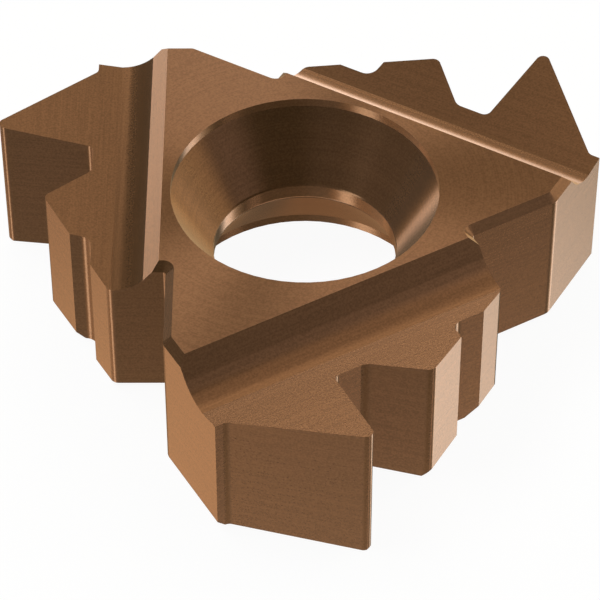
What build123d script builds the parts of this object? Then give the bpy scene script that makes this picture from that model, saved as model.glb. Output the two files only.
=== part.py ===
from build123d import *
from math import cos, radians, sin, tan
import os

# Threading insert with three cutting corners, one sintered carbide piece. Sizes in mm and degrees.
# z = 0 is the seat face and the z axis is the axis of the screw hole. The three corners are alike,
# so the sizes are those of the near one: x runs along its chip groove and "out" is the distance
# from the hole's axis towards its cutting edge, which is -y. The other two are turned by 120.
CORNERS = 3
TURN = 360 / CORNERS

# Blank: a triangle with a square notch by each corner, pressed to shape before it is ground.
THICKNESS = 4.76
SIDE_REACH = 6.15  # from the hole's axis to each flat side
TAIL_X = 3.08  # the notch's face at the end of the chip groove
WALL_OUT = 3.75  # the notch's other face, which locates the insert
EDGE_BREAK = 0.23
TAIL_ROUND = EDGE_BREAK + 0.02  # nearly sharp where the edge break meets the top face
WALL_ROUND = 0.42
NOTCH_ROUND = 0.09

# Screw hole, with a conical screw seat from each face.
RIM_RADIUS = 3.71
RIM_DEPTH = 0.26
THROAT_RADIUS = 2.56
THROAT_LENGTH = 0.48
THROAT_ROUND = 0.15
SEAT_ANGLE = 60

# Chip groove: a bevel down from the top face, a hollow, then the rake face.
RIM_LAND = 0.225  # top face left between the rim of the hole and the bevel
BEVEL_WIDTH = 0.44
BEVEL_DROP = 0.535
HOLLOW_WIDTH = 0.905
HOLLOW_DROP = 0.383
RAKE_ANGLE = 10

# Tooth form of a buttress thread, ground through the side of the blank.
PITCH = 4.233  # 6 threads per inch, from one long flank to the next
LONG_FLANK = 45
SHORT_FLANK = 7
ROOT_INSET = 0.19  # the land before the first tooth and the root after it, inside SIDE_REACH
LAST_ROOT_STEP = 0.11  # and the root behind the second tooth, deeper still
LAND_WIDTH = 0.324  # from the flat side to the first tooth's long flank
ROOT_WIDTH = 0.982  # between the teeth, along the root line
SECOND_WIDTH = 2.724
TIP_ROUND = 0.20
CREST_ROUND = 0.24
LAND_ROUND = 0.24
ROOT_ROUND = 0.214
SECOND_ROUND = 0.355  # at the foot of both flanks of the second tooth
CREST_SKIM = 0.02  # ground off the flat side to make the second tooth's crest

ROOT_OUT = SIDE_REACH - ROOT_INSET
LAST_ROOT_OUT = ROOT_OUT - LAST_ROOT_STEP
FIRST_X = LAND_WIDTH - SIDE_REACH  # where the first long flank starts
CLEAR = 6  # how far each cut starts outside the blank

SIDE = (sin(radians(TURN / 4)), cos(radians(TURN / 4)))  # across the flat side, as x and out


def on_side(x, out, dx, dout, reach=SIDE_REACH):
    """Where the line through x, out with the direction dx, dout meets the flat side."""
    step = (reach - x * SIDE[0] - out * SIDE[1]) / (dx * SIDE[0] + dout * SIDE[1])
    return x + step * dx, out + step * dout


def face_of(corners):
    """A face through corners that are each x, out and the radius of the corner."""
    face = make_face(Polyline(*[(x, -out) for x, out, _ in corners], close=True))
    for x, out, radius in corners:
        if radius:
            face = fillet(face.vertices().sort_by_distance((x, -out, 0))[0], radius)
    return face


def around(cut):
    """The same cut at each of the three corners."""
    return [Rot(0, 0, TURN * n) * cut for n in range(CORNERS)]


def blank():
    one = [
        (*on_side(TAIL_X, 0, 0, 1), TAIL_ROUND),
        (TAIL_X, WALL_OUT, NOTCH_ROUND),
        (*on_side(0, WALL_OUT, 1, 0), WALL_ROUND),
        (*on_side(0, 0, 1, 0), 0),
    ]
    corners = []
    for n in range(CORNERS):
        for x, out, radius in one:
            spot = Vector(x, -out).rotate(Axis.Z, TURN * n)
            corners.append((spot.X, -spot.Y, radius))
    body = extrude(face_of(corners), THICKNESS)
    flats = body.faces().filter_by(Axis.Z)
    return chamfer([edge for flat in flats for edge in flat.edges()], EDGE_BREAK)


def screw_hole():
    seat_foot = THICKNESS - RIM_DEPTH - (RIM_RADIUS - THROAT_RADIUS) / tan(radians(SEAT_ANGLE / 2))
    throat_foot = seat_foot - THROAT_LENGTH
    half = make_face(
        Polyline(
            (0, 0),
            (RIM_RADIUS, 0),
            (RIM_RADIUS, RIM_DEPTH),
            (THROAT_RADIUS, throat_foot),
            (THROAT_RADIUS, seat_foot),
            (RIM_RADIUS, THICKNESS - RIM_DEPTH),
            (RIM_RADIUS, THICKNESS),
            (0, THICKNESS),
            close=True,
        )
    )
    for z in (throat_foot, seat_foot):
        half = fillet(half.vertices().sort_by_distance((THROAT_RADIUS, z, 0))[0], THROAT_ROUND)
    return revolve(Plane.XZ * half, Axis.Z)


def chip_groove():
    rise = CLEAR * tan(radians(RAKE_ANGLE))
    slope = BEVEL_WIDTH / BEVEL_DROP
    start = RIM_RADIUS + RIM_LAND
    top = (start - CLEAR * slope, THICKNESS + CLEAR)
    foot = (start + BEVEL_WIDTH, THICKNESS - BEVEL_DROP)
    crease = (foot[0] + HOLLOW_WIDTH, foot[1] - HOLLOW_DROP)
    lip = (crease[0] + CLEAR, crease[1] + rise)
    above = (lip[0], top[1])
    section = make_face(
        [
            Line(top, foot),
            TangentArc(crease, foot, tangent=(-1, 0)),
            Polyline(crease, lip, above, top),
        ]
    )
    reach = SIDE_REACH + CLEAR
    return extrude(Plane((reach, 0, 0), x_dir=(0, -1, 0), z_dir=(-1, 0, 0)) * section, 2 * reach)


def teeth():
    """What is ground away in front of the land, the first tooth, and the second one's long flank
    and crest."""
    rise = tan(radians(LONG_FLANK)), 1
    first_width = PITCH - ROOT_WIDTH
    height = first_width / (rise[0] + tan(radians(SHORT_FLANK)))
    second_x = FIRST_X + PITCH
    crest = on_side(second_x, ROOT_OUT, *rise, reach=SIDE_REACH - CREST_SKIM)
    behind_x = (second_x + SECOND_WIDTH + on_side(0, LAST_ROOT_OUT, 1, 0)[0]) / 2
    end = on_side(behind_x, 0, 0, 1, reach=SIDE_REACH - CREST_SKIM)
    far = (end[0] + CLEAR * SIDE[0], end[1] + CLEAR * SIDE[1])
    left = -SIDE_REACH - CLEAR
    return [
        (left, ROOT_OUT, 0),
        (FIRST_X, ROOT_OUT, LAND_ROUND),
        (FIRST_X + height * rise[0], ROOT_OUT + height, TIP_ROUND),
        (FIRST_X + first_width, ROOT_OUT, ROOT_ROUND),
        (second_x, ROOT_OUT, SECOND_ROUND),
        (*crest, CREST_ROUND),
        (*end, 0),
        (*far, 0),
        (left, far[1], 0),
    ]


def last_root():
    """What is ground away behind the second tooth."""
    lean = tan(radians(SHORT_FLANK))
    flank_x = FIRST_X + PITCH + SECOND_WIDTH + lean * (ROOT_OUT - LAST_ROOT_OUT)
    far_x = on_side(0, LAST_ROOT_OUT, 1, 0)[0] + CLEAR / 2
    far_out = LAST_ROOT_OUT + CLEAR / 2
    return [
        (flank_x - lean * (far_out - LAST_ROOT_OUT), far_out, 0),
        (flank_x, LAST_ROOT_OUT, SECOND_ROUND),
        (far_x, LAST_ROOT_OUT, 0),
        (far_x, far_out, 0),
    ]


def insert():
    body = blank() - screw_hole()
    for corners in (teeth(), last_root()):
        body -= around(extrude(face_of(corners), THICKNESS))
    return body - around(chip_groove())


os.makedirs("parts", exist_ok=True)
export_step(insert(), "parts/insert_body.step")
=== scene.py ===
from math import cos, radians, sin

import bpy
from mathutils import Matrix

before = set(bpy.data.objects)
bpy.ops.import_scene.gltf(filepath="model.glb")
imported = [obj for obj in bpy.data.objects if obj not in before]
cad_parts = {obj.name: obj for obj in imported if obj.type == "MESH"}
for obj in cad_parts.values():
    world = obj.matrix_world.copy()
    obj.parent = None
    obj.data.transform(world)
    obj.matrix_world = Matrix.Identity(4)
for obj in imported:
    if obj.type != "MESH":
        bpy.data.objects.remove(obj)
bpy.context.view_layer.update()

# Threading insert: one piece of tungsten carbide, pressed and sintered with its screw hole, notches
# and edge breaks, then ground on its flat faces, in its chip grooves and round its teeth. A hard
# coating of a few micrometres covers it all and shows the grinding marks through it.
MM = 0.001


def linear(hex_colour):
    """An sRGB hex colour as the linear red, green, blue and alpha that a shader takes."""
    values = [int(hex_colour[n : n + 2], 16) / 255 for n in (1, 3, 5)]
    return [v / 12.92 if v <= 0.04045 else ((v + 0.055) / 1.055) ** 2.4 for v in values] + [1]


def node(tree, kind, links=(), **settings):
    """Adds a node and gives its outputs. A link is an input and the value or output it takes."""
    made = tree.nodes.new(kind)
    for name, value in settings.items():
        setattr(made, name, value)
    for place, value in dict(links).items():
        if isinstance(value, bpy.types.NodeSocket):
            tree.links.new(value, made.inputs[place])
        else:
            made.inputs[place].default_value = value
    return made.outputs


# Coating: of the titanium nitride kind, so to the eye a satin bronze-brown metal. The grinding marks
# show as faint streaks, and light stretches across them.
coating = bpy.data.materials.new("bronze_hard_coating_on_ground_carbide")
coating.use_nodes = True
tree = coating.node_tree
tree.nodes.clear()

# The marks lie level on every face, along the chip grooves and round the hole, except on the top face
# and the seat face, which are lapped in circles about the hole. Those two are found by their slope.
UPRIGHT = (0, 0, 1)
NEARLY_LEVEL, LEVEL = 0.9990, 0.9999  # upright part of a face's normal
place = node(tree, "ShaderNodeTexCoord")["Object"]
normal = node(tree, "ShaderNodeNewGeometry")["Normal"]
rise = node(tree, "ShaderNodeVectorMath", {0: normal, 1: UPRIGHT}, operation="DOT_PRODUCT")["Value"]
lapped = node(
    tree,
    "ShaderNodeMapRange",
    {
        "Value": node(tree, "ShaderNodeMath", {0: rise}, operation="ABSOLUTE")[0],
        "From Min": NEARLY_LEVEL,
        "From Max": LEVEL,
    },
    interpolation_type="SMOOTHSTEP",
)[0]
level, circle = (
    node(
        tree,
        "ShaderNodeVectorMath",
        {0: node(tree, "ShaderNodeVectorMath", {0: UPRIGHT, 1: v}, operation="CROSS_PRODUCT")[0]},
        operation="NORMALIZE",
    )[0]
    for v in (normal, place)
)
along = node(tree, "ShaderNodeMix", {0: lapped, 4: level, 5: circle}, data_type="VECTOR")[1]
across = node(tree, "ShaderNodeVectorMath", {0: normal, 1: along}, operation="CROSS_PRODUCT")[0]

MARK_SPACING = 0.05 * MM  # real marks are a few hundredths apart or less, too fine to show
MARK_LENGTH = 2.5 * MM
away = node(tree, "ShaderNodeVectorMath", {0: along, 1: UPRIGHT}, operation="CROSS_PRODUCT")[0]
away = node(tree, "ShaderNodeVectorMath", {0: place, 1: away}, operation="DOT_PRODUCT")["Value"]
height = node(tree, "ShaderNodeSeparateXYZ", {0: place})["Z"]
beside = node(tree, "ShaderNodeCombineXYZ", {0: away, 1: height})[0]
finely, slowly = (
    node(tree, "ShaderNodeVectorMath", {0: v, "Scale": 1 / size}, operation="SCALE")[0]
    for v, size in ((beside, MARK_SPACING), (place, MARK_LENGTH))
)
marks = node(
    tree,
    "ShaderNodeTexNoise",
    {
        "Vector": node(tree, "ShaderNodeVectorMath", {0: finely, 1: slowly}, operation="ADD")[0],
        "Scale": 1.0,
        "Detail": 2.0,
        "Roughness": 0.6,
    },
)[0]

GRAIN = 0.055 * MM  # the pits of sintered carbide are a few micrometres wide, drawn coarser to show
pits = node(
    tree,
    "ShaderNodeTexNoise",
    {"Vector": place, "Scale": 1 / GRAIN, "Detail": 1.0, "Roughness": 0.5},
)[0]

MARK_SHARE = 0.38
tone = node(tree, "ShaderNodeMix", {0: MARK_SHARE, 2: pits, 3: marks})[0]
shade = node(
    tree,
    "ShaderNodeMapRange",
    {"Value": tone, "From Min": 0.3, "From Max": 0.7},  # noise seldom goes past these
    interpolation_type="SMOOTHSTEP",
)[0]
DARK_STREAK, LIGHT_STREAK = linear("#8A603F"), linear("#A2724D")
colour = node(
    tree, "ShaderNodeMix", {0: shade, 6: DARK_STREAK, 7: LIGHT_STREAK}, data_type="RGBA"
)[2]
relief = node(tree, "ShaderNodeBump", {"Height": tone, "Strength": 0.06, "Distance": 0.0015 * MM})[0]
# Light spreads a little across the marks of the ground faces, and far across those of the lapped ones.
ground_finish, lapped_finish = (
    node(
        tree,
        "ShaderNodeBsdfPrincipled",
        {
            "Base Color": colour,
            "Metallic": 0.7,
            "Roughness": roughness,
            "Anisotropic": stretch,
            "Normal": relief,
            "Tangent": across,
        },
    )[0]
    for roughness, stretch in ((0.22, 0.4), (0.33, 0.95))
)
finish = node(tree, "ShaderNodeMixShader", {0: lapped, 1: ground_finish, 2: lapped_finish})[0]
node(tree, "ShaderNodeOutputMaterial", {"Surface": finish})

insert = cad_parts["insert_body"]
insert.data.materials.clear()
insert.data.materials.append(coating)
insert.visible_glossy = False  # so no face mirrors another, as in the photograph

# Floor: a plain pale studio table with no edge in view. From below it is clear, to show the seat face.
# It is seen by the camera only, because in the photograph the metal doesn't mirror it, and comes out
# white with a faint shadow.
FLOOR_SIZE = 4.0
FLOOR_GAP = 0.01 * MM
OWN_WHITE = 0.88  # the rest of the table's white is lit, and so shows the shadow
bpy.ops.mesh.primitive_plane_add(size=FLOOR_SIZE, location=(0, 0, -FLOOR_GAP))
floor = bpy.context.object
floor.name = "studio_floor"
paper = bpy.data.materials.new("matt_white_table")
paper.use_nodes = True
tree = paper.node_tree
tree.nodes.clear()
ray = node(tree, "ShaderNodeLightPath")
seen = node(
    tree, "ShaderNodeMath", {0: ray["Is Camera Ray"], 1: ray["Is Glossy Ray"]}, operation="MAXIMUM"
)[0]
seen = node(tree, "ShaderNodeMath", {0: seen, 1: ray["Is Transmission Ray"]}, operation="MAXIMUM")[0]
lift = node(tree, "ShaderNodeMath", {0: seen, 1: OWN_WHITE}, operation="MULTIPLY")[0]
matt = node(tree, "ShaderNodeBsdfDiffuse", {"Color": linear("#F4F4F4")})[0]
white = node(tree, "ShaderNodeEmission", {"Color": (1, 1, 1, 1), "Strength": 1.07})[0]
above = node(tree, "ShaderNodeMixShader", {0: lift, 1: matt, 2: white})[0]
clear = node(tree, "ShaderNodeBsdfTransparent")[0]
from_below = node(tree, "ShaderNodeNewGeometry")["Backfacing"]
surface = node(tree, "ShaderNodeMixShader", {0: from_below, 1: above, 2: clear})[0]
node(tree, "ShaderNodeOutputMaterial", {"Surface": surface})
floor.data.materials.append(paper)
floor.visible_glossy = floor.visible_diffuse = floor.visible_shadow = False

# Light: soft boxes drawn in the world round a dim room, with a white backdrop for the camera. They
# stand where the faces of the insert show them in the photograph.
world = bpy.data.worlds.new("studio")
bpy.context.scene.world = world
world.use_nodes = True
tree = world.node_tree
tree.nodes.clear()
towards = node(tree, "ShaderNodeSeparateXYZ", {0: node(tree, "ShaderNodeTexCoord")["Generated"]})
flat = node(tree, "ShaderNodeCombineXYZ", {0: towards["X"], 1: towards["Y"]})[0]
heading = node(tree, "ShaderNodeVectorMath", {0: flat}, operation="NORMALIZE")[0]


def soft_box(azimuth, half_width, side_blur, foot, head, rim_blur):
    """1 in a patch of the world and 0 outside it. In degrees, from +X and from the horizon."""
    middle = (cos(radians(azimuth)), sin(radians(azimuth)), 0)
    nearness = node(
        tree, "ShaderNodeVectorMath", {0: heading, 1: middle}, operation="DOT_PRODUCT"
    )["Value"]
    outer, inner = min(half_width + side_blur, 180), half_width - side_blur
    low, high = max(foot - rim_blur, -90), min(head + rim_blur, 90)
    share = 1.0
    for value, start, end in (
        (nearness, cos(radians(outer)), cos(radians(inner))),
        (towards["Z"], sin(radians(low)), sin(radians(foot + rim_blur))),
        (towards["Z"], sin(radians(high)), sin(radians(head - rim_blur))),
    ):
        links = {"Value": value, "From Min": start, "From Max": end}
        part = node(tree, "ShaderNodeMapRange", links, interpolation_type="SMOOTHSTEP")[0]
        share = node(tree, "ShaderNodeMath", {0: share, 1: part}, operation="MULTIPLY")[0]
    return share


ROOM = (0.08, 0.09, 0.07)  # what the dim room adds all round
SOFT_BOXES = [  # azimuth, half width, blur, foot, head, blur, colour
    # Behind the insert, for its top face, rake faces and hollows.
    (130, 35, 20, 48, 67, 7, (3.5, 3.5, 3.5)),
    (10, 50, 7, 45, 90, 5, (0.45, 0.4, 0.35)),
    (53, 7, 7, 24, 90, 16, (0.6, 0.55, 0.45)),
    (70, 10, 7, 32, 39, 5, (1.5, 1.35, 1.1)),
    (72, 12, 7, 0, 20, 5, (5.0, 4.7, 4.3)),
    (58, 9, 7, -8, 8, 5, (3.0, 3.2, 3.3)),
    # Beside it and low behind, for the bevels, the edge breaks and the screw hole.
    (-30, 27, 27, 5, 60, 5, (0.3, 0.3, 0.35)),
    (95, 7, 7, -18, -9, 5, (2.4, 2.2, 2.0)),
    (55, 55, 12, -20, -10, 5, (0.7, 0.5, 0.25)),
    (45, 25, 7, -40, 20, 5, (0.7, 0.5, 0.25)),
    (-10, 15, 15, -60, 50, 5, (0.65, 0.6, 0.45)),
    (175, 60, 15, -90, 30, 30, (0.1, 0.11, 0.13)),
    # Under the horizon, for the upright faces, which show the camera what lies below.
    (-110, 50, 7, -65, -50, 5, (1.15, 1.05, 0.9)),
    (-50, 7, 7, -90, -45, 5, (1.3, 1.15, 1.0)),
    (-5, 7, 7, -50, -40, 5, (2.8, 2.8, 2.7)),
    (85, 40, 7, -90, -35, 10, (0.3, 0.12, 0.03)),
    (155, 50, 7, -51, -44, 5, (1.2, 0.8, 0.4)),
    (-175, 7, 7, -70, 0, 5, (1.7, 1.9, 2.0)),
]
light = node(tree, "ShaderNodeCombineXYZ", dict(enumerate(ROOM)))[0]
for *edges, glow in SOFT_BOXES:
    links = {0: glow, "Scale": soft_box(*edges)}
    box = node(tree, "ShaderNodeVectorMath", links, operation="SCALE")[0]
    light = node(tree, "ShaderNodeVectorMath", {0: light, 1: box}, operation="ADD")[0]
room = node(tree, "ShaderNodeBackground", {"Color": light})[0]
backdrop = node(tree, "ShaderNodeBackground", {"Color": (1, 1, 1, 1)})[0]
by_camera = node(tree, "ShaderNodeLightPath")["Is Camera Ray"]
surroundings = node(tree, "ShaderNodeMixShader", {0: by_camera, 1: room, 2: backdrop})[0]
node(tree, "ShaderNodeOutputWorld", {"Surface": surroundings})

# Camera: in the photograph's place, about 90 mm from the insert and over its near corner, with a long
# lens that takes in little more than the insert.
bpy.ops.object.camera_add(location=(-33.230 * MM, -57.257 * MM, 66.150 * MM))
camera = bpy.context.object
camera.rotation_euler = (radians(90 - 44.7976), 0, radians(-30.0124))
camera.rotation_euler.rotate_axis("Z", radians(-0.0688))
camera.data.sensor_width = 36
camera.data.lens = 196.665
camera.data.clip_start = 1 * MM
bpy.context.scene.camera = camera
bpy.context.scene.view_settings.view_transform = "Standard"
